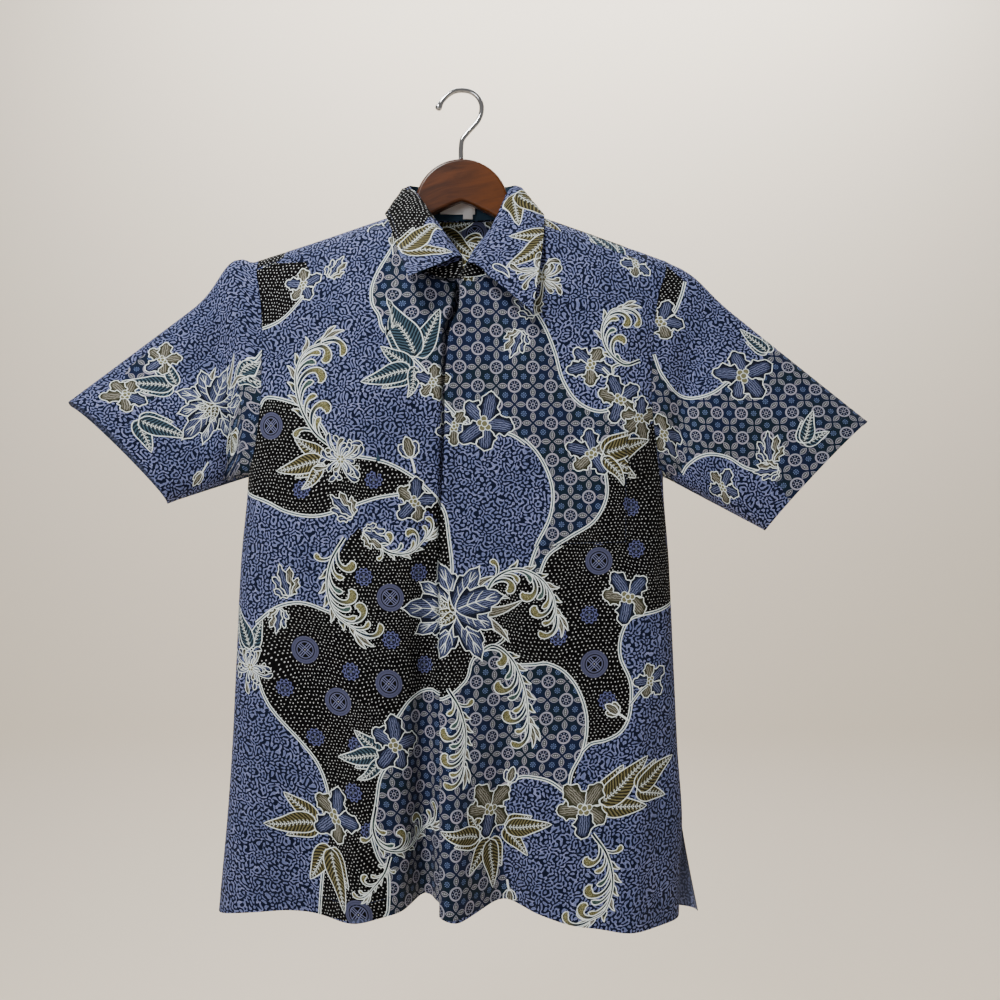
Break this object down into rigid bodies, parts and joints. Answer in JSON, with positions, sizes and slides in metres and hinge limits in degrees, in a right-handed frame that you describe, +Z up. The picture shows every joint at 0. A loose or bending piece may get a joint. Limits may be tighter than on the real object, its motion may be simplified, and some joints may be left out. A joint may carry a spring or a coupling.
{
  "type": "batik shirt on hanger",
  "caption": "Short-sleeved batik shirt with a spread collar and chest pocket, hanging open-necked on a flat wooden hanger with a steel hook.",
  "frame": {"origin": "inner underside of the hook's crown, where it hangs on a rod, hook or nail", "axes": "+X towards the shirt's own left side (the viewer's right from the front), +Y from the front towards the back, +Z up"},
  "size_m": [0.849, 0.1173, 0.8782],
  "materials": {
    "batik_cotton": "plain-woven cotton, printed in navy, periwinkle, black, cream and olive",
    "label_tape": "blank white woven tape",
    "stained_wood": "dark brown stain under gloss lacquer",
    "polished_steel": "polished wire"
  },
  "bodies": {
    "root": {"front_right": "batik_cotton", "front_left": "batik_cotton", "back": "batik_cotton", "yoke": "batik_cotton", "sleeve_right": "batik_cotton", "sleeve_left": "batik_cotton", "chest_pocket": "batik_cotton", "collar_stand": "batik_cotton", "collar_leaf": "batik_cotton", "neck_label": "label_tape", "size_tag": "label_tape", "hanger": "stained_wood", "hook": "polished_steel"}
  },
  "joints": []
}
